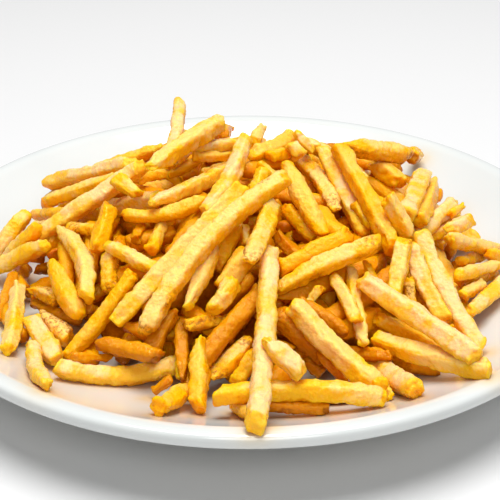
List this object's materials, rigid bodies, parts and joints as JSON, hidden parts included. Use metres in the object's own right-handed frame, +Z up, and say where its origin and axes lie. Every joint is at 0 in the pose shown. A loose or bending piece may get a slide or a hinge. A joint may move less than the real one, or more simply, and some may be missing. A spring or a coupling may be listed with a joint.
{
  "type": "portion of french fries on a plate",
  "caption": "Heap of thin-cut french fries on a round, shallow white dinner plate with a smooth upturned rim.",
  "frame": {"origin": "on the table, under the middle of the plate", "axes": "+Z up; the side that the fries are arranged to be seen from faces -Y"},
  "size_m": [0.254, 0.254, 0.0716],
  "materials": {
    "glazed_plate": "gloss white glaze",
    "fried_potato": "crisp golden crust with a thin gleam of oil"
  },
  "bodies": {
    "root": {"plate": "glazed_plate", "fries": "fried_potato"}
  },
  "joints": []
}
